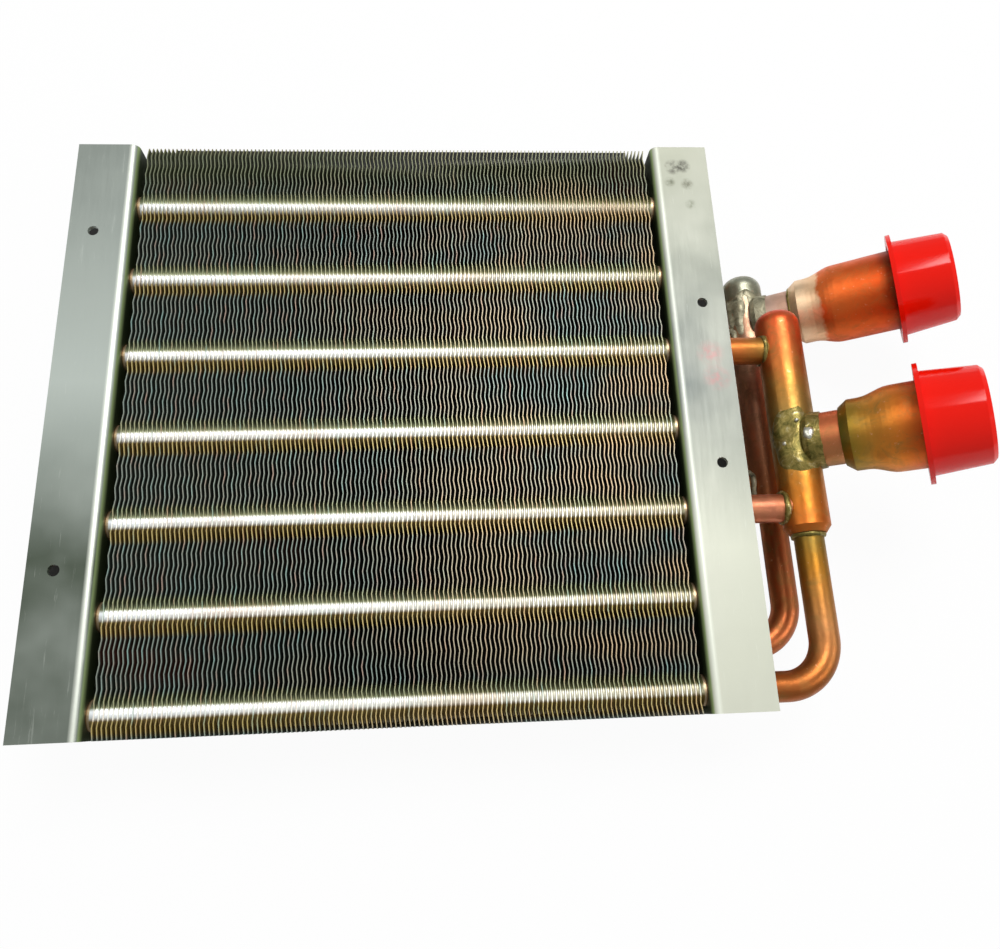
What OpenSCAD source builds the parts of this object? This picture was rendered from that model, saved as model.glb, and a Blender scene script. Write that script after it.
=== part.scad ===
// Heater core: a tube and fin heat exchanger with two headers and capped hose ends.
// It lies on its back flanges: X runs towards the pipes, Y along the fins, Z up to the front face.
// The origin lies on the resting plane, below the middle of the fin pack.

/* [Core] */
// Distance between the two end plates, on their fin side
core_w = 203.5; // [150:0.5:260]
// Distance between two tubes of one row
tube_pitch = 31.75; // [29:0.25:38]
// Number of tubes in each row
row_tubes = 7; // [7]
// Distance from a row of tubes to the nearer edge of the fins
row_edge = 6.75; // [6:0.25:10]
// Depth of the fins, front to back
fin_d = 41; // [40:0.5:54]
// Distance from fin to fin
fin_pitch = 1.52; // [1.3:0.01:2.4]
// Thickness of one fin
fin_t = 0.2; // [0.15:0.05:0.4]
// Least gap between the last fin and the end plate
fin_end_gap = 2.9; // [1:0.1:6]

/* [Tubes] */
// Outer diameter of a core tube
tube_od = 10.6; // [9:0.1:11.5]
// Wall of the core tubes, return bends and crossovers
tube_wall = 0.7; // [0.5:0.05:1.2]
// Radial gap between a tube and the hole or socket that it sits in
seat_gap = 0.05; // [0.02:0.01:0.1]
// Length of the widened socket at each tube end
socket_l = 3.5; // [3:0.1:5]

/* [End plates] */
// Sheet thickness of the end plates
plate_t = 1.5; // [1:0.1:2]
// Width of each end plate flange, measured from the fin side
flange_w = 22.5; // [20:0.5:30]
// Inner radius of the folded corners
fold_r = 1.2; // [0.8:0.1:2]
// Step from the fins' face to the flange's face
flange_step = 2.5; // [2:0.1:5]
// Diameter of the fixing holes
fixing_d = 4; // [3:0.1:5]
// Distance of the fixing holes from the outer edge of the flange
fixing_edge = 9; // [7:0.5:12]
// Height of the middle of both hole pairs above the middle of the core
fixing_y = 8; // [0:0.5:12]
// Hole spacing on the left end plate
left_fixing_pitch = 129; // [100:0.5:160]
// Hole spacing on the right end plate
right_fixing_pitch = 64.5; // [50:0.5:100]

/* [Headers] */
// Outer diameter of the two headers
header_od = 16.8; // [15:0.1:18]
// Wall of the headers
header_wall = 1.2; // [0.8:0.1:1.6]
// Distance from the right end plate to the inlet header's axis
inlet_header_x = 45.6; // [44:0.1:52]
// Distance from the right end plate to the outlet header's axis
outlet_header_x = 44.75; // [42:0.25:52]
// Length of the inlet header
inlet_header_l = 89.5; // [85:0.5:96]
// Length of the outlet header
outlet_header_l = 104.5; // [98:0.5:110]
// Length of header below its lowest stub
header_tail = 10; // [8:0.25:12]
// Corner radius of a header's closed end
dome_r = 6; // [3:0.5:7]
// Radius of the crossover bends, on the tube's centre line
crossover_r = 16; // [14:0.5:20]

/* [Hose ends] */
// Outer diameter of the short pipe out of a header
pipe_od = 20.3; // [19:0.1:21]
// Wall of the short pipe
pipe_wall = 1.2; // [0.8:0.1:1.6]
// Outer diameter of the pipe's necked end at the header
neck_od = 16; // [14:0.1:16.4]
// Outer diameter of a coupling's small end
small_od = 26.6; // [25:0.1:28]
// Outer diameter of a coupling's large end
large_od = 31.6; // [30:0.1:33]
// Wall of a coupling's large end
large_wall = 1.4; // [1:0.1:2]
// Length of a coupling's small end
small_l = 7; // [6:0.5:10]
// Length of a coupling's taper
taper_l = 10.6; // [8:0.2:14]
// Upward tilt of the inlet pipe
inlet_tilt = 32.2; // [25:0.1:40]
// Sideways swing of the inlet pipe, towards the top
inlet_swing = -1.6; // [-6:0.1:6]
// Height of the inlet pipe's root above the middle of the core
inlet_root_y = -14.9; // [-18:0.1:-10]
// Distance from the header's axis to the inlet coupling
inlet_coupling_at = 17; // [13:0.1:20]
// Overall length of the inlet coupling
inlet_coupling_l = 45.5; // [40:0.5:60]
// Upward tilt of the outlet pipe
outlet_tilt = 31.2; // [27:0.5:40]
// Sideways swing of the outlet pipe, towards the top
outlet_swing = -0.3; // [-6:0.1:6]
// Height of the outlet pipe's root above the middle of the core
outlet_root_y = 48.8; // [48:0.25:56]
// Distance from the header's axis to the outlet coupling
outlet_coupling_at = 19.7; // [17:0.1:24]
// Overall length of the outlet coupling
outlet_coupling_l = 58.5; // [50:0.5:70]

/* [Caps] */
// Outer diameter of a cap's rim
cap_rim_od = 43.4; // [41:0.1:46]
// Thickness of a cap's rim
cap_rim_t = 1.6; // [1:0.1:2.5]
// Length of a cap
cap_l = 21; // [18:0.5:26]
// Wall of a cap
cap_wall = 1.3; // [1:0.1:1.8]
// Widening of a cap from its closed end to its open end
cap_flare = 3.6; // [2:0.1:5]
// Gap between a cap and the pipe that it closes
cap_gap = 0.1; // [0.05:0.05:0.3]

/* [Hidden] */

// Roundness of tubes and bores
$fn = 64;
// Overrun of every cutting solid
cut = 1;
aluminium = [0.66, 0.68, 0.66];
fin_metal = [0.72, 0.72, 0.68];
copper = [0.78, 0.45, 0.22];
braze_metal = [0.55, 0.5, 0.32];
cap_red = [0.88, 0.09, 0.04];

core_h = row_tubes * tube_pitch;
plate_d = fin_d + 2 * flange_step;
fold_out_r = fold_r + plate_t;
web_x = core_w / 2;
edge_x = web_x + flange_w;
fin_count = floor((core_w - 2 * fin_end_gap) / fin_pitch) + 1;
first_fin_x = -(fin_count - 1) * fin_pitch / 2;
left_fin_count = floor(fin_count / 2);

tube_r = tube_od / 2;
middle_row = (row_tubes + 1) / 2;
front_z = plate_d - flange_step - row_edge;
rear_z = flange_step + row_edge;
// Each row is shifted a quarter pitch, the front row down and the rear row up
function front_y(k) = (middle_row - k) * tube_pitch - tube_pitch / 4;
function rear_y(k) = (middle_row - k) * tube_pitch + tube_pitch / 4;

// Clear gap between the ends of pieces that slide into each other
end_gap = 0.2;
// Socket on each tube end, just outside the end plate's web
socket_x = web_x + plate_t + end_gap;
socket_end_x = socket_x + socket_l;
socket_r = tube_r + seat_gap + tube_wall;
leg_in = socket_l - 1;
// Start of the return bends' curve, inside the mouth of the sockets
bend_x = socket_end_x - 0.8;

header_r = header_od / 2;
inlet_axis_x = web_x + inlet_header_x;
outlet_axis_x = web_x + outlet_header_x;
inlet_bottom_y = front_y(5) - header_tail;
outlet_bottom_y = rear_y(5) - header_tail;
// Length and narrow radius of a header's swaged lower end
swage_l = 2.5;
swage_r = tube_r + seat_gap + header_wall;
// Depth of a crossover in its header, just short of the nearest stub
crossover_in = header_tail - tube_r - end_gap;

pipe_r = pipe_od / 2;
neck_r = neck_od / 2;
neck_start = 3;
neck_l = 5;
neck_cone_l = 2.5;
pipe_in_cup = small_l - 0.5;
large_r = large_od / 2;
small_r = small_od / 2;
// Number of short cones in a coupling's taper
taper_steps = 6;
// Sloping shoulder where the coupling's small end is brazed to the pipe
shoulder_l = 3.2;
shoulder_h = 2.4;

cap_bore_r = large_r + cap_gap;
cap_end_r = cap_bore_r + cap_wall;
cap_mouth_r = cap_end_r + cap_flare / 2;
cap_edge = 1.4;
// Gap between a pipe's end and the floor of its cap
cap_floor_gap = end_gap;

// A straight tube along +X that starts at x
module tube_along_x(x, length, outer_r, inner_r) {
  translate([x, 0, 0])
    rotate([0, 90, 0])
      difference() {
        cylinder(h = length, r = outer_r);
        translate([0, 0, -cut])
          cylinder(h = length + 2 * cut, r = inner_r);
      }
}

// Cross section of an end plate: a web at x = 0 with a flange at the back and one at the front
module channel_profile() {
  translate([0, fold_out_r])
    square([plate_t, plate_d - 2 * fold_out_r]);
  for (z = [0, plate_d - plate_t])
    translate([fold_out_r, z])
      square([flange_w - fold_out_r, plate_t]);
  for (z = [fold_out_r, plate_d - fold_out_r])
    translate([fold_out_r, z])
      fold_quarter(z < plate_d / 2 ? -1 : 1);
}

// A quarter ring that joins the web to a flange, above or below its centre
module fold_quarter(up) {
  intersection() {
    difference() {
      circle(r = fold_out_r);
      circle(r = fold_r);
    }
    translate([-fold_out_r, up > 0 ? 0 : -fold_out_r])
      square([fold_out_r, fold_out_r]);
  }
}

// The right end plate in place, with its tube holes and one pair of fixing holes
module end_plate(fixing_pitch) {
  difference() {
    translate([web_x, 0, 0])
      rotate([90, 0, 0])
        linear_extrude(core_h, center = true)
          channel_profile();
    for (k = [1:row_tubes]) {
      web_hole(front_y(k), front_z);
      web_hole(rear_y(k), rear_z);
    }
    for (y = [fixing_y - fixing_pitch / 2, fixing_y + fixing_pitch / 2])
      translate([edge_x - fixing_edge, y, plate_d - plate_t - cut])
        cylinder(h = plate_t + 2 * cut, r = fixing_d / 2);
  }
}

module web_hole(y, z) {
  translate([web_x - cut, y, z])
    rotate([0, 90, 0])
      cylinder(h = plate_t + 2 * cut, r = tube_r + seat_gap);
}

module left_end_plate() {
  color(aluminium)
    mirror([1, 0, 0])
      end_plate(left_fixing_pitch);
}

module right_end_plate() {
  color(aluminium)
    end_plate(right_fixing_pitch);
}

// Outline of one fin in Y and Z, pierced for both rows of tubes
module fin_outline() {
  difference() {
    translate([-core_h / 2, flange_step])
      square([core_h, fin_d]);
    for (k = [1:row_tubes]) {
      translate([front_y(k), front_z])
        circle(r = tube_r + seat_gap);
      translate([rear_y(k), rear_z])
        circle(r = tube_r + seat_gap);
    }
  }
}

// The fins from one number to another, counted from the left
module fin_run(first, last) {
  color(fin_metal)
    for (i = [first:last])
      translate([first_fin_x + i * fin_pitch - fin_t / 2, 0, 0])
        rotate([90, 0, 90])
          linear_extrude(fin_t)
            fin_outline();
}

module left_fins() {
  fin_run(0, left_fin_count - 1);
}

module right_fins() {
  fin_run(left_fin_count, fin_count - 1);
}

// A core tube across both end plates, with a socket at each end
module core_tube(y, z) {
  color(copper)
    translate([0, y, z]) {
      difference() {
        union() {
          tube_along_x(-socket_end_x, 2 * socket_end_x, tube_r, tube_r - tube_wall);
          for (x = [-socket_end_x, socket_x])
            tube_along_x(x, socket_l, socket_r, tube_r - tube_wall);
        }
        for (x = [-socket_end_x - cut, socket_end_x - leg_in])
          translate([x, 0, 0])
            rotate([0, 90, 0])
              cylinder(h = leg_in + cut, r = tube_r + seat_gap);
      }
    }
}

module front_tube(k) {
  core_tube(front_y(k), front_z);
}

module rear_tube(k) {
  core_tube(rear_y(k), rear_z);
}

// A half turn of tube outside the right end plate, from one tube end to another
module return_bend(from, to) {
  middle = (from + to) / 2;
  span = norm(to - from);
  turn = atan2(to[1] - from[1], to[0] - from[0]);
  leg = bend_x - (socket_end_x - leg_in) - end_gap;
  color(copper)
    translate([bend_x, middle[0], middle[1]])
      rotate([turn, 0, 0])
        rotate([0, 180, 0])
          rotate([0, 0, 90])
            difference() {
              union() {
                rotate_extrude(angle = 180)
                  translate([span / 2, 0])
                    circle(r = tube_r);
                for (side = [-1, 1])
                  translate([side * span / 2, -leg, 0])
                    rotate([-90, 0, 0])
                      cylinder(h = leg, r = tube_r);
              }
              rotate_extrude(angle = 180)
                translate([span / 2, 0])
                  circle(r = tube_r - tube_wall);
              for (side = [-1, 1])
                translate([side * span / 2, -leg - cut, 0])
                  rotate([-90, 0, 0])
                    cylinder(h = leg + cut, r = tube_r - tube_wall);
            }
}

function front_end(k) = [front_y(k), front_z];
function rear_end(k) = [rear_y(k), rear_z];

module left_bend(from, to) {
  mirror([1, 0, 0])
    return_bend(from, to);
}

// Outline of a header in radius and length: swaged at the bottom, closed and rounded at the top
module header_outline(radius, bottom, top, corner) {
  intersection() {
    union() {
      translate([0, bottom])
        square([radius, top - corner - bottom]);
      square([radius - corner > 0 ? radius - corner : 0.01, top]);
      translate([radius - corner, top - corner])
        circle(r = corner);
    }
    translate([0, bottom])
      square([radius, top - bottom]);
  }
}

// A hollow header along +Y from the origin
module header_shell(length) {
  rotate([-90, 0, 0])
    difference() {
      union() {
        rotate_extrude()
          header_outline(header_r, swage_l, length, dome_r);
        cylinder(h = swage_l, r1 = swage_r, r2 = header_r);
      }
      rotate_extrude()
        header_outline(
          header_r - header_wall, swage_l + header_wall, length - header_wall, dome_r - header_wall
        );
      translate([0, 0, -cut])
        cylinder(h = swage_l + header_wall + 2 * cut, r = tube_r + seat_gap);
    }
}

// Hole for a stub that enters a header from the core's side
module stub_hole(y, z, axis_x) {
  translate([axis_x - header_r - cut, y, z])
    rotate([0, 90, 0])
      cylinder(h = header_r + cut, r = tube_r + seat_gap);
}

// Places its children on a hose pipe's axis, with +Z along the pipe
module on_pipe(root, tilt, swing) {
  translate(root)
    rotate([0, 0, swing])
      rotate([0, 90 - tilt, 0])
        children();
}

inlet_root = [inlet_axis_x, inlet_root_y, front_z];
outlet_root = [outlet_axis_x, outlet_root_y, rear_z];

module inlet_header() {
  color(copper)
    difference() {
      translate([inlet_axis_x, inlet_bottom_y, front_z])
        header_shell(inlet_header_l);
      stub_hole(front_y(3), front_z, inlet_axis_x);
      stub_hole(front_y(5), front_z, inlet_axis_x);
      on_pipe(inlet_root, inlet_tilt, inlet_swing)
        cylinder(h = header_r + cut, r = neck_r - pipe_wall);
    }
}

module outlet_header() {
  color(copper)
    difference() {
      translate([outlet_axis_x, outlet_bottom_y, rear_z])
        header_shell(outlet_header_l);
      stub_hole(rear_y(3), rear_z, outlet_axis_x);
      stub_hole(rear_y(5), rear_z, outlet_axis_x);
      on_pipe(outlet_root, outlet_tilt, outlet_swing)
        cylinder(h = header_r + cut, r = neck_r - pipe_wall);
    }
}

// A short straight tube from a core tube's socket into a header
module stub(y, z, axis_x) {
  start_x = socket_end_x - leg_in + end_gap;
  end_x = axis_x - sqrt(pow(header_r - header_wall, 2) - pow(tube_r, 2));
  color(copper)
    translate([0, y, z])
      tube_along_x(start_x, end_x - start_x, tube_r, tube_r - tube_wall);
}

// A tube from a core tube's socket, round one bend and up into a header's lower end
module crossover(y, z, axis_x, bottom_y) {
  start_x = socket_end_x - leg_in + end_gap;
  corner_x = axis_x - crossover_r;
  corner_y = y + crossover_r;
  color(copper)
    union() {
      translate([0, y, z])
        tube_along_x(start_x, corner_x - start_x, tube_r, tube_r - tube_wall);
      translate([corner_x, corner_y, z])
        rotate([180, 0, 0])
          rotate_extrude(angle = 90)
            translate([crossover_r, 0])
              rotate(90)
                tube_section();
      translate([axis_x, corner_y, z])
        rotate([-90, 0, 0])
          linear_extrude(bottom_y + crossover_in - corner_y)
            tube_section();
    }
}

module tube_section() {
  difference() {
    circle(r = tube_r);
    circle(r = tube_r - tube_wall);
  }
}

module inlet_stub(k) {
  stub(front_y(k), front_z, inlet_axis_x);
}

module outlet_stub(k) {
  stub(rear_y(k), rear_z, outlet_axis_x);
}

module inlet_crossover() {
  crossover(front_y(7), front_z, inlet_axis_x, inlet_bottom_y);
}

module outlet_crossover() {
  crossover(rear_y(7), rear_z, outlet_axis_x, outlet_bottom_y);
}

// The header as a solid cylinder, to cut a saddle that sits on it
module header_saddle(root) {
  translate(root)
    rotate([90, 0, 0])
      cylinder(h = 4 * pipe_od, r = header_r + seat_gap, center = true);
}

// A hose pipe: a neck that sits on the header, a short cone and the pipe's full bore
module hose_pipe(root, tilt, swing, coupling_at) {
  cone_at = neck_start + neck_l;
  full_at = cone_at + neck_cone_l;
  end_at = coupling_at + pipe_in_cup;
  color(copper)
    difference() {
      on_pipe(root, tilt, swing)
        difference() {
          union() {
            translate([0, 0, neck_start])
              cylinder(h = neck_l, r = neck_r);
            translate([0, 0, cone_at])
              cylinder(h = neck_cone_l, r1 = neck_r, r2 = pipe_r);
            translate([0, 0, full_at])
              cylinder(h = end_at - full_at, r = pipe_r);
          }
          cylinder(h = cone_at, r = neck_r - pipe_wall);
          translate([0, 0, cone_at])
            cylinder(h = neck_cone_l, r1 = neck_r - pipe_wall, r2 = pipe_r - pipe_wall);
          translate([0, 0, full_at])
            cylinder(h = end_at - full_at + cut, r = pipe_r - pipe_wall);
        }
      header_saddle(root);
    }
}

module inlet_pipe() {
  hose_pipe(inlet_root, inlet_tilt, inlet_swing, inlet_coupling_at);
}

module outlet_pipe() {
  hose_pipe(outlet_root, outlet_tilt, outlet_swing, outlet_coupling_at);
}

// The ring of braze metal that fills the corner between a hose pipe's neck and its header
module braze_ring(root, tilt, swing) {
  cone_at = neck_start + neck_l;
  full_at = cone_at + neck_cone_l;
  inner_r = neck_r + seat_gap;
  color(braze_metal)
    difference() {
      on_pipe(root, tilt, swing)
        rotate_extrude()
          polygon([
            [inner_r, neck_start + 1],
            [pipe_r, neck_start + 1],
            [pipe_r + 1, neck_start + 3],
            [pipe_r + 0.5, full_at],
            [pipe_r + seat_gap, full_at],
            [inner_r, cone_at]
          ]);
      header_saddle(root);
    }
}

module inlet_braze() {
  braze_ring(inlet_root, inlet_tilt, inlet_swing);
}

module outlet_braze() {
  braze_ring(outlet_root, outlet_tilt, outlet_swing);
}

// Share of a smooth step at a share t of its length
function ease(t) = (1 - cos(180 * t)) / 2;

// A reducing coupling along +Z: shouldered small end, smooth taper and long large end
module coupling_body(length) {
  cup_r = pipe_r + seat_gap;
  large_at = small_l + taper_l;
  taper = [
    for (i = [1:taper_steps - 1])
      [small_r + (large_r - small_r) * ease(i / taper_steps), small_l + taper_l * i / taper_steps]
  ];
  rotate_extrude()
    polygon(concat(
      [[cup_r, 0], [small_r - shoulder_h, 0], [small_r, shoulder_l], [small_r, small_l]],
      taper,
      [[large_r, large_at], [large_r, length], [large_r - large_wall, length], [large_r - large_wall, large_at]],
      [[cup_r, small_l]]
    ));
}

module inlet_coupling() {
  color(copper)
    on_pipe(inlet_root, inlet_tilt, inlet_swing)
      translate([0, 0, inlet_coupling_at])
        coupling_body(inlet_coupling_l);
}

module outlet_coupling() {
  color(copper)
    on_pipe(outlet_root, outlet_tilt, outlet_swing)
      translate([0, 0, outlet_coupling_at])
        coupling_body(outlet_coupling_l);
}

// A tapered cap along +Z, open at the bottom, where it has a wide rim
module cap_body() {
  difference() {
    union() {
      cylinder(h = cap_rim_t, r = cap_rim_od / 2);
      cylinder(h = cap_l - cap_edge, r1 = cap_mouth_r, r2 = cap_end_r);
      translate([0, 0, cap_l - cap_edge])
        cylinder(h = cap_edge, r1 = cap_end_r, r2 = cap_end_r - cap_edge);
    }
    translate([0, 0, -0.01])
      cylinder(h = cap_l - cap_wall + 0.01, r1 = cap_mouth_r - cap_wall, r2 = cap_bore_r);
  }
}

// Distance of a cap's open end from the header's axis
function cap_at(coupling_at, length) = coupling_at + length + cap_floor_gap - (cap_l - cap_wall);

module inlet_cap() {
  color(cap_red)
    on_pipe(inlet_root, inlet_tilt, inlet_swing)
      translate([0, 0, cap_at(inlet_coupling_at, inlet_coupling_l)])
        cap_body();
}

module outlet_cap() {
  color(cap_red)
    on_pipe(outlet_root, outlet_tilt, outlet_swing)
      translate([0, 0, cap_at(outlet_coupling_at, outlet_coupling_l)])
        cap_body();
}

left_end_plate();
right_end_plate();
left_fins();
right_fins();
front_tube(1);  // front_tube_1
front_tube(2);  // front_tube_2
front_tube(3);  // front_tube_3
front_tube(4);  // front_tube_4
front_tube(5);  // front_tube_5
front_tube(6);  // front_tube_6
front_tube(7);  // front_tube_7
rear_tube(1);  // rear_tube_1
rear_tube(2);  // rear_tube_2
rear_tube(3);  // rear_tube_3
rear_tube(4);  // rear_tube_4
rear_tube(5);  // rear_tube_5
rear_tube(6);  // rear_tube_6
rear_tube(7);  // rear_tube_7
left_bend(front_end(1), rear_end(1));  // left_bend_1
left_bend(rear_end(3), rear_end(2));  // left_bend_2
left_bend(front_end(3), front_end(2));  // left_bend_3
left_bend(rear_end(5), rear_end(4));  // left_bend_4
left_bend(front_end(5), front_end(4));  // left_bend_5
left_bend(rear_end(7), rear_end(6));  // left_bend_6
left_bend(front_end(7), front_end(6));  // left_bend_7
return_bend(rear_end(2), rear_end(1));  // right_bend_1
return_bend(front_end(2), front_end(1));  // right_bend_2
return_bend(front_end(4), rear_end(4));  // right_bend_3
return_bend(front_end(6), rear_end(6));  // right_bend_4
inlet_header();
outlet_header();
inlet_stub(3);  // inlet_stub_1
inlet_stub(5);  // inlet_stub_2
outlet_stub(3);  // outlet_stub_1
outlet_stub(5);  // outlet_stub_2
inlet_crossover();
outlet_crossover();
inlet_pipe();
outlet_pipe();
inlet_braze();
outlet_braze();
inlet_coupling();
outlet_coupling();
inlet_cap();
outlet_cap();
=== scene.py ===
import math
import random
import bpy
from mathutils import Matrix, Vector, noise
from mathutils.geometry import delaunay_2d_cdt


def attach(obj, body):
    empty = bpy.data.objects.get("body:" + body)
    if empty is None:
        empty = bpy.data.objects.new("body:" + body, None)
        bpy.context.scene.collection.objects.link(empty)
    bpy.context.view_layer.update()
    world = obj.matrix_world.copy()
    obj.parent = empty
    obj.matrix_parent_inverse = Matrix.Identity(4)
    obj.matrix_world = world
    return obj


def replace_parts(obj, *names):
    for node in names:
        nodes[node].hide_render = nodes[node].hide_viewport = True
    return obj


random.seed(11)
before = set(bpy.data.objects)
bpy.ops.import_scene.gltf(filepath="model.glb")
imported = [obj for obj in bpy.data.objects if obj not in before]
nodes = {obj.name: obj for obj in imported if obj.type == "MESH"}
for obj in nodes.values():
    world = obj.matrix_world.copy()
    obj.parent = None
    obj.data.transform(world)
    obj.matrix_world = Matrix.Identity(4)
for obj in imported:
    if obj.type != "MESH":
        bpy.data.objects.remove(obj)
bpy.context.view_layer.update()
MM = 0.001

# sizes of the core in millimetres, as in the frame
PITCH = 31.75
FRONT_Y = [87.31 - PITCH * k for k in range(7)]
REAR_Y = [103.19 - PITCH * k for k in range(7)]
FRONT_Z = 36.75
REAR_Z = 9.25
FIN_COUNT = 131
FIN_PITCH = 1.52
FIN_Y = 111.125
HOLE_R = 5.35
MID_Z = 23
INLET_ROOT = Vector((147.35, -14.9, FRONT_Z))
INLET_WAY = Vector((0.8459, -0.0236, 0.5329))
OUTLET_ROOT = Vector((146.5, 48.8, REAR_Z))
OUTLET_WAY = Vector((0.8554, -0.0045, 0.5180))
HEADER_R = 8.4

# places in metres that the materials share
ROW_START = -0.33795
ROW_STEP = 0.0313
FIN_END = 0.10
FLANGE_FRONT = 0.046
RED_SMEAR = (206, 104, 112)


# materials
class Mat:
    """A node material, with a short call for each kind of node."""

    def __init__(self, name):
        self.mat = bpy.data.materials.new(name)
        self.mat.use_nodes = True
        self.tree = self.mat.node_tree
        self.bsdf = self.tree.nodes["Principled BSDF"]
        self.coord = self.add("ShaderNodeTexCoord").outputs["Object"]

    def add(self, kind):
        return self.tree.nodes.new(kind)

    def link(self, a, b):
        self.tree.links.new(a, b)

    def noise(self, scale, detail=4.0, rough=0.6, stretch=None, distort=0.0):
        n = self.add("ShaderNodeTexNoise")
        n.inputs["Scale"].default_value = scale
        n.inputs["Detail"].default_value = detail
        n.inputs["Roughness"].default_value = rough
        n.inputs["Distortion"].default_value = distort
        src = self.coord
        if stretch:
            m = self.add("ShaderNodeMapping")
            m.inputs["Scale"].default_value = stretch
            self.link(src, m.inputs["Vector"])
            src = m.outputs["Vector"]
        self.link(src, n.inputs["Vector"])
        return n.outputs["Fac"]

    def place(self, axis):
        """The object's own X, Y or Z, in metres."""
        s = self.add("ShaderNodeSeparateXYZ")
        self.link(self.coord, s.inputs[0])
        return s.outputs[axis]

    def axis(self, axis, lo, hi):
        """0 at lo and 1 at hi along one axis, in metres."""
        return self.range(self.place(axis), lo, hi)

    def range(self, value, lo, hi, out_lo=0.0, out_hi=1.0):
        r = self.add("ShaderNodeMapRange")
        r.inputs["From Min"].default_value = lo
        r.inputs["From Max"].default_value = hi
        r.inputs["To Min"].default_value = out_lo
        r.inputs["To Max"].default_value = out_hi
        self.link(value, r.inputs["Value"])
        return r.outputs["Result"]

    def along(self, origin, direction, lo, hi):
        """0 at lo and 1 at hi along a direction through origin, in metres."""
        s = self.add("ShaderNodeVectorMath")
        s.operation = "SUBTRACT"
        self.link(self.coord, s.inputs[0])
        s.inputs[1].default_value = origin
        d = self.add("ShaderNodeVectorMath")
        d.operation = "DOT_PRODUCT"
        self.link(s.outputs[0], d.inputs[0])
        d.inputs[1].default_value = direction
        return self.range(d.outputs["Value"], lo, hi)

    def near(self, point, inner, outer):
        """1 within inner of a point and 0 beyond outer, in metres."""
        s = self.add("ShaderNodeVectorMath")
        s.operation = "DISTANCE"
        self.link(self.coord, s.inputs[0])
        s.inputs[1].default_value = point
        return self.range(s.outputs["Value"], inner, outer, 1.0, 0.0)

    def ramp(self, value, stops):
        r = self.add("ShaderNodeValToRGB")
        els = r.color_ramp.elements
        els[0].position, els[0].color = stops[0][0], (*stops[0][1], 1)
        els[1].position, els[1].color = stops[-1][0], (*stops[-1][1], 1)
        for pos, col in stops[1:-1]:
            e = els.new(pos)
            e.color = (*col, 1)
        self.link(value, r.inputs["Fac"])
        return r.outputs["Color"]

    def mix(self, fac, a, b, mode="MIX"):
        m = self.add("ShaderNodeMix")
        m.data_type = "RGBA"
        m.blend_type = mode
        colours = [i for i in m.inputs if i.type == "RGBA"]
        for value, sock in ((fac, m.inputs[0]), (a, colours[0]), (b, colours[1])):
            if hasattr(value, "links"):
                self.link(value, sock)
            elif isinstance(value, tuple):
                sock.default_value = (*value, 1)
            else:
                sock.default_value = value
        return [o for o in m.outputs if o.type == "RGBA"][0]

    def math(self, op, a, b=0.0):
        m = self.add("ShaderNodeMath")
        m.operation = op
        for i, value in enumerate((a, b)):
            if isinstance(value, (int, float)):
                m.inputs[i].default_value = value
            else:
                self.link(value, m.inputs[i])
        return m.outputs[0]

    def row_place(self):
        """The place along Y between two front rows: 0.5 where a tube shows, 0 and 1 halfway to the next."""
        steps = self.math("DIVIDE", self.math("SUBTRACT", self.place("Y"), ROW_START), ROW_STEP)
        return self.math("FRACT", steps)

    def bump(self, height, strength, distance):
        b = self.add("ShaderNodeBump")
        b.inputs["Strength"].default_value = strength
        b.inputs["Distance"].default_value = distance
        self.link(height, b.inputs["Height"])
        self.link(b.outputs["Normal"], self.bsdf.inputs["Normal"])

    def finish(self, color, metallic, rough, specular=0.5):
        if isinstance(color, tuple):
            self.bsdf.inputs["Base Color"].default_value = (*color, 1)
        else:
            self.link(color, self.bsdf.inputs["Base Color"])
        self.bsdf.inputs["Metallic"].default_value = metallic
        if isinstance(rough, (int, float)):
            self.bsdf.inputs["Roughness"].default_value = rough
        else:
            self.link(rough, self.bsdf.inputs["Roughness"])
        self.bsdf.inputs["Specular IOR Level"].default_value = specular
        return self.mat


def srgb(r, g, b):
    """A linear colour from 0 to 255 display values."""
    out = []
    for v in (r, g, b):
        v = v / 255
        out.append(v / 12.92 if v <= 0.04045 else ((v + 0.055) / 1.055) ** 2.4)
    return tuple(out)


def plate_material(name, top, middle, bottom, tint, marks, metallic, fold_highlight_amount):
    """Mill finish sheet whose tone, painted light and shade, changes from edge to edge, with scratches,
    smears, a painted highlight on the fold and painted shade on its inner side.
    """
    m = Mat(name)
    # painted light and shade: the bottom, middle and top tones stand in for how the light falls across the
    # sheet
    base = m.ramp(m.axis("Y", -0.11, 0.11), [(0.0, bottom), (0.25, bottom), (0.55, middle), (1.0, top)])
    cloud = m.noise(28, 3, 0.5)
    base = m.mix(m.range(cloud, 0.35, 0.7, 0.0, 0.5), base, tint)
    scratch = m.noise(60, 6, 0.7, stretch=(14, 1, 1))
    base = m.mix(m.range(scratch, 0.62, 0.74, 0.0, 0.18), base, (0.90, 0.92, 0.86))
    for point, inner, outer, colour, amount in marks:
        spot = m.near(point, inner, outer)
        patch = m.math("MULTIPLY", spot, m.range(m.noise(420, 3, 0.6), 0.38, 0.62, 0.15, 1.0))
        base = m.mix(m.math("MULTIPLY", patch, amount), base, colour)
    # painted highlight and shade: the fold beside the fins is painted bright, and its inner side is painted
    # olive shade, darker further down
    side = m.math("ABSOLUTE", m.place("X"))
    # painted highlight along the fold
    worn = m.math("MULTIPLY", m.range(side, 0.1026, 0.1034), m.range(side, 0.1052, 0.1040))
    base = m.mix(m.math("MULTIPLY", worn, fold_highlight_amount), base, srgb(242, 246, 234))
    inner = m.math("MULTIPLY", m.range(side, 0.1032, 0.1027), m.axis("Z", 0.0453, 0.0448))
    olive = m.ramp(m.axis("Z", 0.0428, 0.0450), [(0.0, srgb(52, 62, 38)), (1.0, srgb(146, 166, 112))])
    base = m.mix(inner, base, olive)
    rough = m.range(scratch, 0.3, 0.8, 0.38, 0.55)
    m.bump(m.noise(90, 4, 0.6), 0.12, 0.0006)
    return m.finish(base, metallic, rough)


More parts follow.
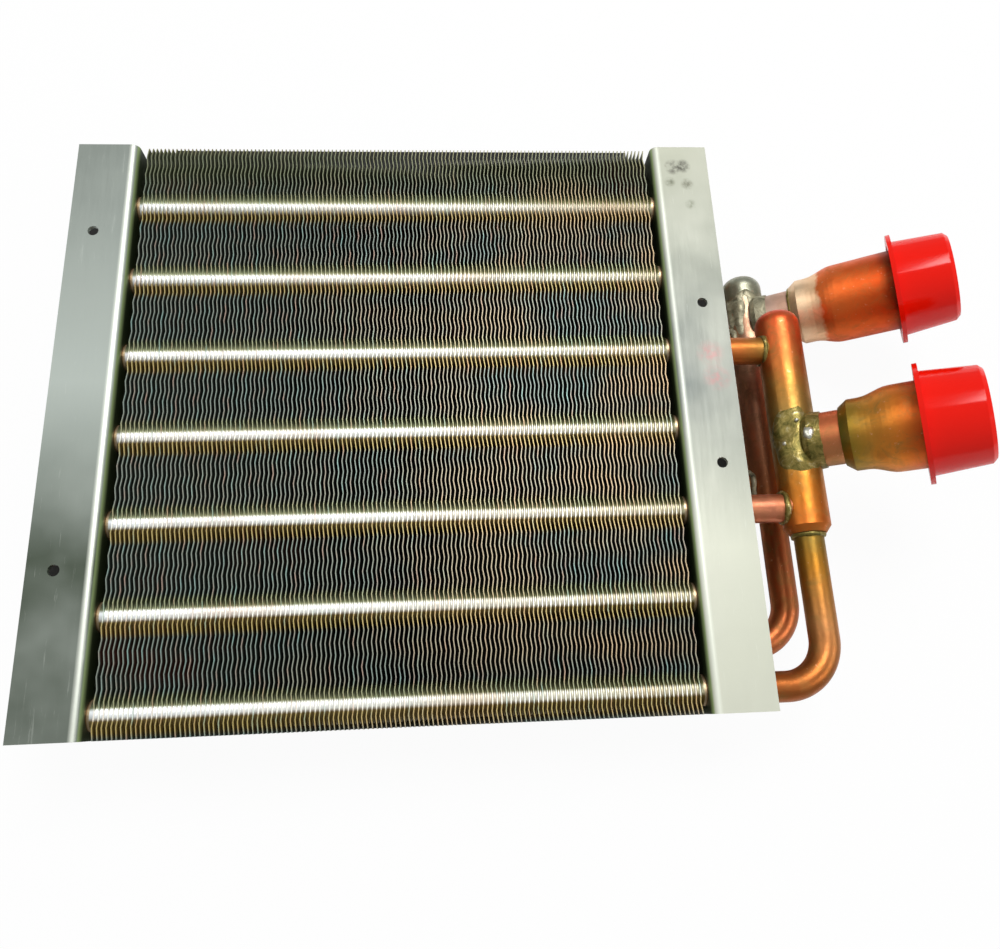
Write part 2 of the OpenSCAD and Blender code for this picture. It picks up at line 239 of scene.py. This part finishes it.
def copper_material(name, bands, direction, origin, length, stain=0.5, rough=0.3, metallic=0.9,
                    olive=(0.20, 0.17, 0.05), pale_ends=False):
    """Copper whose tint changes along a line, with stains."""
    m = Mat(name)
    t = m.along(origin, direction, 0.0, length)
    wob = m.range(m.noise(120, 3, 0.6), 0.0, 1.0, -0.07, 0.07)
    base = m.ramp(m.math("ADD", t, wob), bands)
    patch = m.noise(170, 5, 0.65, distort=0.6)
    base = m.mix(m.range(patch, 0.48, 0.72, 0.0, stain), base, olive)
    fleck = m.noise(480, 3, 0.6)
    base = m.mix(m.range(fleck, 0.66, 0.76, 0.0, 0.35), base, srgb(246, 198, 160))
    if pale_ends:
        side = m.math("ABSOLUTE", m.place("X"))
        inside = m.math("MULTIPLY", m.range(side, 0.0975, 0.0985), m.range(side, 0.1017, 0.1014))
        base = m.mix(m.math("MULTIPLY", inside, 0.75), base, srgb(232, 208, 172))
    m.bump(m.noise(300, 4, 0.6), 0.22, 0.0005)
    return m.finish(base, metallic, m.range(patch, 0.3, 0.7, rough, rough + 0.22))


# the top, middle and bottom tones are painted light and shade
plate_left = plate_material(
    "plate_left", srgb(134, 141, 135), srgb(172, 180, 174), srgb(66, 76, 62), srgb(166, 173, 166),
    [], 0.55, 0.70)
# dark and red smears on the right flange: place, inner and outer radius, colour and strength
smears = [
    ((0.1100, 0.1015, FLANGE_FRONT), 0.0016, 0.0040, srgb(52, 48, 38), 0.90),
    ((0.1140, 0.1020, FLANGE_FRONT), 0.0014, 0.0036, srgb(54, 52, 40), 0.85),
    ((0.1080, 0.0945, FLANGE_FRONT), 0.0006, 0.0026, srgb(80, 84, 60), 0.80),
    ((0.1150, 0.0935, FLANGE_FRONT), 0.0008, 0.0030, srgb(84, 84, 62), 0.75),
    ((0.1155, 0.0840, FLANGE_FRONT), 0.0006, 0.0026, srgb(104, 110, 88), 0.70),
    ((0.1160, 0.0190, FLANGE_FRONT), 0.0010, 0.0060, srgb(*RED_SMEAR), 0.40),
    ((0.1172, 0.0090, FLANGE_FRONT), 0.0010, 0.0060, srgb(*RED_SMEAR), 0.40),
]
# the top, middle and bottom tones are painted light and shade; the dark middle is painted shade
plate_right = plate_material(
    "plate_right", srgb(172, 174, 157), srgb(92, 100, 98), srgb(198, 200, 184), srgb(196, 197, 184),
    smears, 0.3, 0.42)


def fin_material(name, warm):
    """Thin aluminium sheet with painted light and shade: painted pale and lit at the front edge, painted
    shade between the fins, and at each tube a painted highlight with a painted golden reflection below it.
    """
    m = Mat(name)
    place = m.row_place()
    lit_edge_tones = srgb(120, 130, 122), srgb(168, 150, 92), srgb(250, 249, 240), srgb(146, 152, 118)
    shaded_tones = srgb(54, 64, 56), srgb(108, 88, 38), srgb(214, 210, 194), srgb(76, 84, 58)
    # along each row: a painted highlight where a tube shows, a painted golden reflection below it and a
    # painted green reflection above
    lit, dark = [
        m.ramp(place, [
            (0.0, plain), (0.26, plain), (0.32, gold), (0.43, gold), (0.46, bright),
            (0.54, bright), (0.57, green), (0.66, green), (0.72, plain), (1.0, plain)])
        for plain, gold, bright, green in (lit_edge_tones, shaded_tones)]
    across = m.axis("X", -FIN_END, FIN_END)
    tint = m.noise(22, 3, 0.5, stretch=(1, 2, 1))
    warm_amount = m.math("MULTIPLY", m.range(across, 0.25, 1.0, 0.10, 0.8), m.range(tint, 0.42, 0.62))
    fleck = m.noise(90, 2, 0.5, stretch=(6, 1, 1))
    lit = m.mix(m.range(fleck, 0.56, 0.70, 0.0, 0.45), lit, srgb(120, 168, 164))
    lit = m.mix(m.range(fleck, 0.44, 0.30, 0.0, 0.40), lit, srgb(176, 116, 96))
    lit = m.mix(warm_amount, lit, warm)
    # painted light: the lit edges grow brighter towards the bottom of the fins
    lit = m.mix(m.axis("Y", 0.09, -0.09), lit, (1.15, 1.15, 1.15), "MULTIPLY")
    dark = m.mix(m.math("MULTIPLY", warm_amount, 0.6), dark, srgb(104, 82, 62))
    # painted light near the top end of the fins, where light comes in over the edge: olive, and lighter
    # between the fins
    top = m.axis("Y", 0.088, 0.100)
    lit = m.mix(m.math("MULTIPLY", top, 0.8), lit, srgb(118, 122, 90))
    dark = m.mix(m.math("MULTIPLY", top, 0.8), dark, srgb(92, 100, 70))
    dark = m.mix(m.range(m.noise(38, 2, 0.5), 0.60, 0.72, 0.0, 0.5), dark, srgb(110, 36, 22))
    # painted light and shade: the last millimetre before the front edge is painted lit and the sheet behind
    # it painted in shade
    base = m.mix(m.axis("Z", 0.0424, 0.0434), dark, lit)
    return m.finish(base, 0.35, 0.42)


def collar_material(name):
    """The fins' collars, with painted light: a painted highlight where a tube faces the light, a painted
    golden reflection below it, a painted green reflection above and painted shade beyond.
    """
    m = Mat(name)
    across = m.axis("X", -FIN_END, FIN_END)
    base = m.ramp(across, [
        (0.0, srgb(242, 245, 250)), (0.45, srgb(240, 240, 236)), (1.0, srgb(204, 196, 164))])
    base = m.mix(m.range(m.noise(26, 3, 0.5), 0.5, 0.68, 0.0, 0.35), base, srgb(190, 140, 70))
    # painted highlight, reflection and shade by the place around each tube
    around = m.ramp(m.row_place(), [
        (0.32, srgb(110, 92, 46)), (0.44, srgb(146, 124, 78)), (0.475, (1, 1, 1)), (0.535, (1, 1, 1)),
        (0.57, srgb(140, 142, 110)), (0.66, srgb(84, 92, 64))])
    return m.finish(m.mix(1.0, base, around, "MULTIPLY"), 0.75, 0.42)


fin_mat = fin_material("fin_sheet", srgb(196, 164, 122))
collar_mat = collar_material("fin_collar")

core_copper = copper_material(
    "core_copper", [(0.0, srgb(168, 122, 74)), (1.0, srgb(158, 104, 62))],
    (1, 0, 0), (-0.12, 0, 0), 0.24, 0.35, pale_ends=True)
header_copper = copper_material(
    "inlet_header_copper",
    [(0.0, srgb(204, 112, 44)), (0.18, srgb(190, 116, 40)), (0.30, srgb(188, 134, 60)),
     (0.42, srgb(150, 128, 70)), (0.62, srgb(176, 122, 56)), (0.80, srgb(204, 106, 52)),
     (1.0, srgb(222, 88, 50))],
    (0, 1, 0), (0, -0.0497, 0), 0.0895, 0.45)
stub_one = copper_material(
    "stub_one_copper", [(0.0, srgb(214, 112, 54)), (0.6, srgb(206, 118, 56)), (1.0, srgb(150, 134, 62))],
    (1, 0, 0), (0.106, 0, 0), 0.040, 0.25)
stub_two = copper_material(
    "stub_two_copper", [(0.0, srgb(206, 128, 92)), (0.7, srgb(214, 134, 100)), (1.0, srgb(180, 104, 64))],
    (1, 0, 0), (0.106, 0, 0), 0.040, 0.25)
crossover_copper = copper_material(
    "inlet_crossover_copper",
    [(0.0, srgb(168, 92, 44)), (0.25, srgb(164, 96, 44)), (0.45, srgb(190, 128, 76)),
     (0.75, srgb(172, 114, 36)), (1.0, srgb(130, 108, 44))],
    (0.25, 0.97, 0), (0.12, -0.108, 0), 0.066, 0.4)
inlet_pipe_copper = copper_material(
    "inlet_pipe_copper", [(0.0, srgb(140, 122, 66)), (0.45, srgb(196, 130, 84)), (1.0, srgb(226, 112, 70))],
    (0, 0.8, 0.6), (0.157, -0.026, 0.031), 0.030, 0.5)
inlet_coupling_copper = copper_material(
    "inlet_coupling_copper",
    [(0.0, srgb(122, 110, 40)), (0.14, srgb(166, 130, 48)), (0.34, srgb(206, 140, 56)),
     (0.62, srgb(222, 128, 48)), (0.86, srgb(206, 92, 36)), (1.0, srgb(108, 34, 20))],
    (0.846, -0.024, 0.533), (0.1617, -0.0153, 0.0458), 0.030, 0.55)
outlet_header_copper = copper_material(
    "outlet_header_copper",
    [(0.0, srgb(176, 104, 62)), (0.5, srgb(196, 140, 112)), (0.82, srgb(188, 148, 122)),
     (0.90, srgb(150, 150, 128)), (1.0, srgb(190, 192, 178))],
    (0, 1, 0), (0, -0.0323, 0), 0.104, 0.45, olive=srgb(104, 92, 56))
outlet_pipe_copper = copper_material(
    "outlet_pipe_copper",
    [(0.0, srgb(180, 170, 156)), (0.4, srgb(206, 166, 146)), (1.0, srgb(212, 164, 140))],
    (0.855, 0, 0.518), (0.1465, 0.0488, 0.00925), 0.040, 0.2, rough=0.42, metallic=0.75)
outlet_coupling_copper = copper_material(
    "outlet_coupling_copper",
    [(0.0, srgb(222, 190, 150)), (0.10, srgb(252, 218, 180)), (0.28, srgb(252, 206, 162)),
     (0.31, srgb(228, 112, 52)), (0.55, srgb(232, 106, 44)), (0.85, srgb(216, 84, 30)),
     (1.0, srgb(118, 34, 16))],
    (0.855, 0, 0.518), (0.1633, 0.0487, 0.0195), 0.040, 0.35, rough=0.34)
outlet_crossover_copper = copper_material(
    "outlet_crossover_copper", [(0.0, srgb(196, 110, 62)), (1.0, srgb(150, 84, 50))],
    (0, 1, 0), (0, -0.1, 0), 0.07, 0.5)


def braze_material(name, dull, worn, metallic, rough):
    """Lumpy braze metal, dark in its hollows and pale on its lumps."""
    m = Mat(name)
    lump = m.noise(260, 5, 0.65, distort=0.8)
    base = m.ramp(lump, [(0.26, srgb(34, 30, 20)), (0.36, dull), (0.56, worn), (0.76, srgb(206, 198, 160))])
    m.bump(lump, 0.4, 0.0010)
    return m.finish(base, metallic, m.range(lump, 0.3, 0.7, rough, rough - 0.18))


inlet_braze_mat = braze_material("inlet_braze_metal", srgb(88, 84, 34), srgb(150, 132, 70), 0.7, 0.45)
outlet_braze_mat = braze_material("outlet_braze_metal", srgb(116, 112, 88), srgb(164, 158, 132), 0.45, 0.58)
silver = Mat("solder").finish(srgb(226, 224, 210), 0.9, 0.28)


def cap_material(name):
    """Smooth red plastic with a gloss coat."""
    m = Mat(name)
    cloud = m.range(m.noise(40, 2, 0.5), 0.4, 0.7, 0.0, 0.35)
    m.bsdf.inputs["Coat Weight"].default_value = 0.65
    m.bsdf.inputs["Coat Roughness"].default_value = 0.10
    return m.finish(m.mix(cloud, srgb(228, 20, 4), srgb(214, 14, 3)), 0.0, 0.5, specular=0.0)


cap_mat = cap_material("cap_plastic")

# the tubes and bends that this list leaves out are plain core copper
DRESS = {
    "left_end_plate": plate_left, "right_end_plate": plate_right,
    "left_fins": fin_mat, "right_fins": fin_mat,
    "inlet_header": header_copper, "outlet_header": outlet_header_copper,
    "inlet_stub_1": stub_one, "inlet_stub_2": stub_two,
    "inlet_crossover": crossover_copper, "outlet_crossover": outlet_crossover_copper,
    "inlet_pipe": inlet_pipe_copper, "outlet_pipe": outlet_pipe_copper,
    "inlet_coupling": inlet_coupling_copper, "outlet_coupling": outlet_coupling_copper,
    "inlet_braze": inlet_braze_mat, "outlet_braze": outlet_braze_mat,
    "inlet_cap": cap_mat, "outlet_cap": cap_mat,
}
for name in nodes:
    mesh = nodes[name].data
    mesh.materials.clear()
    mesh.materials.append(DRESS.get(name, core_copper))


def new_object(name, verts, faces, material, smooth=True):
    mesh = bpy.data.meshes.new(name)
    mesh.from_pydata([tuple(v) for v in verts], [], [tuple(f) for f in faces])
    mesh.materials.append(material)
    if smooth:
        mesh.polygons.foreach_set("use_smooth", [True] * len(mesh.polygons))
    mesh.update()
    obj = bpy.data.objects.new(name, mesh)
    bpy.context.scene.collection.objects.link(obj)
    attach(obj, "root")
    return obj


# fins with rippled edges, in millimetres
# the quick wave of the edges: step between two bends, reach sideways, and where it fades in from mid depth
KINK = PITCH / 8
DEPTH = 0.28
KINK_FROM = 11
KINK_FADE = 7.5
# the quick wave is calm beside the tubes
CALM = 0.10
CALM_TO = PITCH * 0.07
CALM_FADE = PITCH * 0.05
# the slow wave through the pack: reach sideways, length, and where it ends towards the edges
SWAY = 0.75
SWAY_STEP = 16
SWAY_TO = 18.5
SWAY_FADE = 5.0
# heights of the sheet's rows of points, with the number of steps along each
SHEET_ROWS = [
    (43.5, 112), (42.2, 112), (39.0, 56), (35.0, 28), (31.0, 28), (27.0, 28), (23.0, 28), (19.0, 28),
    (15.0, 28), (11.0, 28), (7.0, 56), (3.8, 112), (2.5, 112),
]
HOLE_POINTS = 14
# half the sheet's thickness, and at its front edge, which is a little thicker to be seen
THIN_HALF = 0.10
EDGE_HALF = 0.17
EDGE_FROM = 41.5
EDGE_FADE = 1.5


def within(value, low=0.0):
    return min(1.0, max(low, value))


def ripple(y, z):
    """The sideways wave of a fin at a point, strongest at its two long edges."""
    depth = abs(z - MID_Z)
    gain = within((depth - KINK_FROM) / KINK_FADE)
    sway = SWAY * within((SWAY_TO - depth) / SWAY_FADE) * math.sin(2 * math.pi * (z - MID_Z) / SWAY_STEP)
    if gain <= 0:
        return sway
    rows = FRONT_Y if z > MID_Z else REAR_Y
    centre = min(rows, key=lambda r: abs(r - y))
    wave = math.asin(math.sin(math.pi * (y - centre) / KINK + math.pi / 2)) / (math.pi / 2)
    calm = within((abs(y - centre) - CALM_TO) / CALM_FADE, CALM)
    return sway + DEPTH * gain * calm * wave


def fin_sheet():
    """One flat fin as triangles in Y and Z, with its fourteen holes."""
    holes = [(y, FRONT_Z) for y in FRONT_Y] + [(y, REAR_Z) for y in REAR_Y]
    keep = []
    for z, count in SHEET_ROWS:
        for i in range(count + 1):
            y = -FIN_Y + 2 * FIN_Y * i / count
            if all(math.hypot(y - hy, z - hz) > HOLE_R + 0.35 for hy, hz in holes):
                keep.append((round(y, 4), z))
    edges = []
    for hy, hz in holes:
        first = len(keep)
        for k in range(HOLE_POINTS):
            a = 2 * math.pi * k / HOLE_POINTS
            keep.append((hy + HOLE_R * math.cos(a), hz + HOLE_R * math.sin(a)))
            edges.append((first + k, first + (k + 1) % HOLE_POINTS))
    out = delaunay_2d_cdt([Vector(p) for p in keep], edges, [], 0, 1e-5)
    verts = [(v.x, v.y) for v in out[0]]
    tris = []
    for f in out[2]:
        cy = sum(verts[i][0] for i in f) / 3
        cz = sum(verts[i][1] for i in f) / 3
        if all(math.hypot(cy - hy, cz - hz) > HOLE_R * 0.94 for hy, hz in holes):
            tris.append(tuple(f))
    return verts, tris


sheet_verts, sheet_tris = fin_sheet()
sides = dict.fromkeys(e for a, b, c in sheet_tris for e in ((a, b), (b, c), (c, a)))
rim = [(a, b) for a, b in sides if (b, a) not in sides]
base_wave = [ripple(y, z) for y, z in sheet_verts]


def fin_x(k):
    return (k - FIN_COUNT // 2) * FIN_PITCH


def fin_pack(name, first, last):
    """The fins from first to last, each with its own small drift and ripple."""
    verts, faces = [], []
    n = len(sheet_verts)
    for k in range(first, last):
        x0 = fin_x(k)
        drift = random.uniform(-0.06, 0.06)
        swell = random.uniform(0.85, 1.15)
        at = len(verts)
        for side in (-1, 1):
            for (y, z), w in zip(sheet_verts, base_wave):
                wander = 0.10 * noise.noise(Vector((k * 0.21, y * 0.05, 3.1)))
                half = THIN_HALF + (EDGE_HALF - THIN_HALF) * within((z - EDGE_FROM) / EDGE_FADE)
                fade = within(abs(z - MID_Z) / 20)
                x = x0 + w * swell + (drift + wander) * fade + side * half
                verts.append((x * MM, y * MM, z * MM))
        for a, b, c in sheet_tris:
            faces.append((at + a + n, at + b + n, at + c + n))
            faces.append((at + c, at + b, at + a))
        for a, b in rim:
            faces.append((at + a, at + b, at + b + n, at + a + n))
    return new_object(name, verts, faces, fin_mat, smooth=False)


packs = (0, 33, "left_fins"), (33, 65, "left_fins"), (65, 98, "right_fins"), (98, FIN_COUNT, "right_fins")
for i, (first, last, node) in enumerate(packs):
    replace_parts(fin_pack(f"rippled_fins_{i + 1}", first, last), node)


# collars that space the fins along each tube
# one rib and its sleeve: place along the tube from the fin, and radius
COLLAR = [(-0.60, 5.78), (-0.12, 5.88), (0.18, 6.30), (0.50, 5.82)]


def collars(name, rows, z, ring):
    """A ribbed sleeve round each tube of a row, with one rib at every fin."""
    verts, faces = [], []
    stations = [(fin_x(k) + step, r) for k in range(FIN_COUNT) for step, r in COLLAR]
    stations.insert(0, (stations[0][0] - 1.2, stations[0][1]))
    stations.append((stations[-1][0] + 1.3, stations[-1][1]))
    for y in rows:
        base = len(verts)
        for x, r in stations:
            for i in range(ring):
                a = 2 * math.pi * i / ring
                verts.append((x * MM, (y + r * math.cos(a)) * MM, (z + r * math.sin(a)) * MM))
        for s in range(len(stations) - 1):
            for i in range(ring):
                j = (i + 1) % ring
                p = base + s * ring
                faces.append((p + i, p + ring + i, p + ring + j, p + j))
    return new_object(name, verts, faces, collar_mat)


collars("front_collars", FRONT_Y, FRONT_Z, 20)
collars("rear_collars", REAR_Y, REAR_Z, 10)


# braze beads and solder lumps
def ring_parts(centre, axis, ring_r, bead_r, amount, seed, around=28, across=8):
    """A lumpy ring about an axis, as vertices and faces in millimetres."""
    turn = Vector((0, 0, 1)).rotation_difference(Vector(axis)).to_matrix()
    verts, faces = [], []
    for i in range(around):
        a = 2 * math.pi * i / around
        for j in range(across):
            b = 2 * math.pi * j / across
            wave = noise.noise(Vector((math.cos(a) * 2.1 + seed, math.sin(a) * 2.1, b * 0.5)))
            r = bead_r * (1 + amount * wave)
            p = Vector(((ring_r + r * math.cos(b)) * math.cos(a), (ring_r + r * math.cos(b)) * math.sin(a),
                        r * math.sin(b)))
            verts.append(turn @ p + Vector(centre))
            k, m = (i + 1) % around, (j + 1) % across
            faces.append((i * across + j, k * across + j, k * across + m, i * across + m))
    return verts, faces


def blob_parts(centre, radii, amount, seed, rows=8, ring=14):
    """A lumpy ball, as vertices and faces in millimetres."""
    verts, faces = [Vector((0, 0, 1))], []
    for i in range(1, rows):
        t = math.pi * i / rows
        for j in range(ring):
            a = 2 * math.pi * j / ring
            verts.append(Vector((math.sin(t) * math.cos(a), math.sin(t) * math.sin(a), math.cos(t))))
    verts.append(Vector((0, 0, -1)))
    out = []
    for v in verts:
        r = 1 + amount * noise.noise(v * 1.7 + Vector((seed, 0, 0)))
        out.append(Vector((v.x * radii[0], v.y * radii[1], v.z * radii[2])) * r + Vector(centre))
    for j in range(ring):
        k = (j + 1) % ring
        faces.append((0, 1 + j, 1 + k))
        last = 1 + (rows - 2) * ring
        faces.append((last + j, len(verts) - 1, last + k))
        for i in range(rows - 2):
            p = 1 + i * ring
            faces.append((p + j, p + ring + j, p + ring + k, p + k))
    return out, faces


def patch_parts(axis_xz, radius, y_range, angles, thick, seed, steps=26, around=30):
    """A lumpy skin of metal on a tube along Y, thin at its rim, as vertices and faces in millimetres."""
    verts, faces = [], []
    for i in range(steps + 1):
        u = i / steps
        for j in range(around + 1):
            v = j / around
            edge = noise.noise(Vector((u * 3.0 + seed, v * 3.0, 1.7))) * 0.16
            rim = min(1.0, max(0.0, (0.44 + edge - math.hypot(u - 0.5, v - 0.5)) / 0.20))
            lump = 0.62 + 0.75 * noise.noise(Vector((u * 4.0 + seed, v * 4.5, seed)))
            r = radius - 0.35 + thick * rim * max(0.15, lump)
            a = math.radians(angles[0] + (angles[1] - angles[0]) * v)
            y = y_range[0] + (y_range[1] - y_range[0]) * u
            verts.append(Vector((axis_xz[0] + r * math.cos(a), y, axis_xz[1] + r * math.sin(a))))
    wide = around + 1
    for i in range(steps):
        for j in range(around):
            p = i * wide + j
            faces.append((p, p + 1, p + wide + 1, p + wide))
    return verts, faces


def joined(name, parts, material):
    """Several rings, balls and skins as one piece."""
    verts, faces = [], []
    for v, f in parts:
        at = len(verts)
        verts += [p * MM for p in v]
        faces += [tuple(i + at for i in face) for face in f]
    return new_object(name, verts, faces, material)


inlet_axis = (INLET_ROOT.x, FRONT_Z)
outlet_axis = (OUTLET_ROOT.x, REAR_Z)
joined("inlet_tee_beads", [
    ring_parts(INLET_ROOT + INLET_WAY * 9.2, INLET_WAY, 8.5, 1.6, 0.9, 1.0, 40, 10),
    patch_parts(inlet_axis, HEADER_R, (-33.0, 2.0), (10, 200), 1.7, 2.0),
], inlet_braze_mat)
joined("inlet_header_beads", [
    ring_parts((139.7, 23.81, FRONT_Z), (1, 0, 0), 5.2, 1.0, 0.7, 2.0),
    ring_parts((139.2, -39.69, FRONT_Z), (1, 0, 0), 5.1, 1.3, 0.5, 5.0),
    ring_parts((147.35, -50.2, FRONT_Z), (0, 1, 0), 5.2, 1.2, 0.6, 6.0),
], inlet_braze_mat)
joined("outlet_header_beads", [
    ring_parts(OUTLET_ROOT + OUTLET_WAY * 9.2, OUTLET_WAY, 9.0, 1.6, 0.55, 3.0, 40, 10),
    ring_parts((138.6, 39.69, REAR_Z), (1, 0, 0), 5.6, 1.2, 0.7, 1.0),
    ring_parts((138.6, -23.81, REAR_Z), (1, 0, 0), 5.6, 1.2, 0.7, 2.5),
    ring_parts((146.5, -34.4, REAR_Z), (0, 1, 0), 5.2, 1.2, 0.6, 3.5),
    patch_parts(outlet_axis, HEADER_R, (38.0, 64.0), (95, 185), 1.3, 1.0),
    patch_parts(outlet_axis, HEADER_R, (50.0, 65.0), (50, 150), 0.8, 5.0),
], outlet_braze_mat)
joined("outlet_coupling_line", [
    ring_parts(OUTLET_ROOT + OUTLET_WAY * 19.9, OUTLET_WAY, 10.4, 0.8, 0.5, 2.0, 32, 6),
], inlet_braze_mat)
joined("solder_spots", [
    blob_parts((147.6, -14.9, 48.6), (2.4, 2.6, 2.0), 0.3, 3.0),
    blob_parts((140.6, -16.7, 43.2), (0.7, 0.8, 0.7), 0.4, 4.0),
    blob_parts((145.2, -8.5, 46.1), (0.8, 0.7, 0.7), 0.4, 5.0),
], silver)
socket_rings = []
for side in (-1, 1):
    for rows, z in ((FRONT_Y, FRONT_Z), (REAR_Y, REAR_Z)):
        for i, y in enumerate(rows):
            socket_rings.append(
                ring_parts((side * 107.1, y, z), (1, 0, 0), 5.55, 0.62, 0.5, i + side * 3.0 + z, 20, 6))
joined("socket_braze", socket_rings, inlet_braze_mat)


# the floor, the lights and the camera
EYE = Vector((0.0150148, -0.1068183, 0.3173222))
FLOOR_Z = -0.0004
FLOOR_HALF = 6
# the plates' fixing holes, in metres
HOLE_MID_Z = 0.0453
FIXING_HOLES = (-0.11525, 0.0725), (-0.11525, -0.0565), (0.11525, 0.04025), (0.11525, -0.02425)
# painted shadow: the floor is painted dark from side to side of the fins, and from their front end to just
# behind them
DARK_HALF_X = 0.1040
DARK_MID_Y = 0.0171
DARK_HALF_Y = 0.1279
HOLE_SHADOW_SPOT_R = 0.0036
floor_mesh = bpy.data.meshes.new("floor")
corners = [(x * FLOOR_HALF, y * FLOOR_HALF, FLOOR_Z) for x, y in ((-1, -1), (1, -1), (1, 1), (-1, 1))]
floor_mesh.from_pydata(corners, [], [(0, 1, 2, 3)])
floor = bpy.data.objects.new("floor", floor_mesh)
bpy.context.scene.collection.objects.link(floor)


def floor_material(name):
    """White where the camera sees it, but painted dark as painted shadow below the fins and behind the
    fixing holes.
    """
    m = Mat(name)
    beyond_x = m.math("GREATER_THAN", m.math("ABSOLUTE", m.place("X")), DARK_HALF_X)
    off_y = m.math("ABSOLUTE", m.math("SUBTRACT", m.place("Y"), DARK_MID_Y))
    outside = m.math("MAXIMUM", beyond_x, m.math("GREATER_THAN", off_y, DARK_HALF_Y))
    # painted shadow spots on the floor where the camera looks through each fixing hole
    reach = (EYE.z - FLOOR_Z) / (EYE.z - HOLE_MID_Z)
    for x, y in FIXING_HOLES:
        gap = m.add("ShaderNodeVectorMath")
        gap.operation = "DISTANCE"
        m.link(m.coord, gap.inputs[0])
        gap.inputs[1].default_value = (EYE.x + (x - EYE.x) * reach, EYE.y + (y - EYE.y) * reach, FLOOR_Z)
        outside = m.math("MINIMUM", outside, m.math("GREATER_THAN", gap.outputs["Value"], HOLE_SHADOW_SPOT_R))
    # the near-black colour inside the zone is the painted shadow
    m.finish(m.mix(outside, (0.012, 0.012, 0.011), (0.8, 0.8, 0.8)), 0.0, 0.9)
    emit = m.add("ShaderNodeEmission")
    emit.inputs["Strength"].default_value = 1.0
    blend = m.add("ShaderNodeMixShader")
    seen = m.math("MULTIPLY", m.add("ShaderNodeLightPath").outputs["Is Camera Ray"], 0.95)
    m.link(m.math("MULTIPLY", seen, outside), blend.inputs["Fac"])
    m.link(m.bsdf.outputs[0], blend.inputs[1])
    m.link(emit.outputs[0], blend.inputs[2])
    m.link(blend.outputs[0], m.tree.nodes["Material Output"].inputs["Surface"])
    return m.mat


floor_mesh.materials.append(floor_material("floor_white"))

world = bpy.data.worlds.new("studio")
bpy.context.scene.world = world
world.use_nodes = True
wt = world.node_tree
sky = wt.nodes["Background"]
sky.inputs["Color"].default_value = (0.62, 0.64, 0.62, 1)
sky.inputs["Strength"].default_value = 0.55
white = wt.nodes.new("ShaderNodeBackground")
white.inputs["Color"].default_value = (1, 1, 1, 1)
white.inputs["Strength"].default_value = 1.0
wpath = wt.nodes.new("ShaderNodeLightPath")
wmix = wt.nodes.new("ShaderNodeMixShader")
wt.links.new(wpath.outputs["Is Camera Ray"], wmix.inputs["Fac"])
wt.links.new(sky.outputs[0], wmix.inputs[1])
wt.links.new(white.outputs[0], wmix.inputs[2])
wt.links.new(wmix.outputs[0], wt.nodes["World Output"].inputs["Surface"])


def area(name, place, target, size, power):
    """A white lamp at a place, turned to a target."""
    light = bpy.data.lights.new(name, "AREA")
    light.shape = "RECTANGLE"
    light.size, light.size_y = size
    light.energy = power
    obj = bpy.data.objects.new(name, light)
    bpy.context.scene.collection.objects.link(obj)
    obj.location = place
    obj.rotation_euler = (Vector(target) - Vector(place)).to_track_quat("-Z", "Y").to_euler()


area("key", (0.17, 0.40, 1.05), (0.03, 0.0, 0.03), (0.54, 0.5), 9.0)
area("fill", (-0.8, 0.3, 0.8), (0, 0, 0), (0.7, 0.7), 2.0)
area("side", (1.0, -0.3, 0.8), (0.1, 0, 0.05), (0.5, 0.5), 3.0)

camera_data = bpy.data.cameras.new("camera")
camera_data.sensor_width = 36
camera_data.lens = 28.8
camera_data.clip_start = 0.01
camera = bpy.data.objects.new("camera", camera_data)
bpy.context.scene.collection.objects.link(camera)
right = Vector((0.997412, -0.041267, 0.058877))
down = Vector((-0.022900, -0.958572, -0.283927))
ahead = Vector((0.068155, 0.281844, -0.957036))
turn = Matrix((right, -down, -ahead)).transposed().to_4x4()
camera.matrix_world = Matrix.Translation(EYE) @ turn
bpy.context.scene.camera = camera
bpy.context.scene.view_settings.view_transform = "Standard"
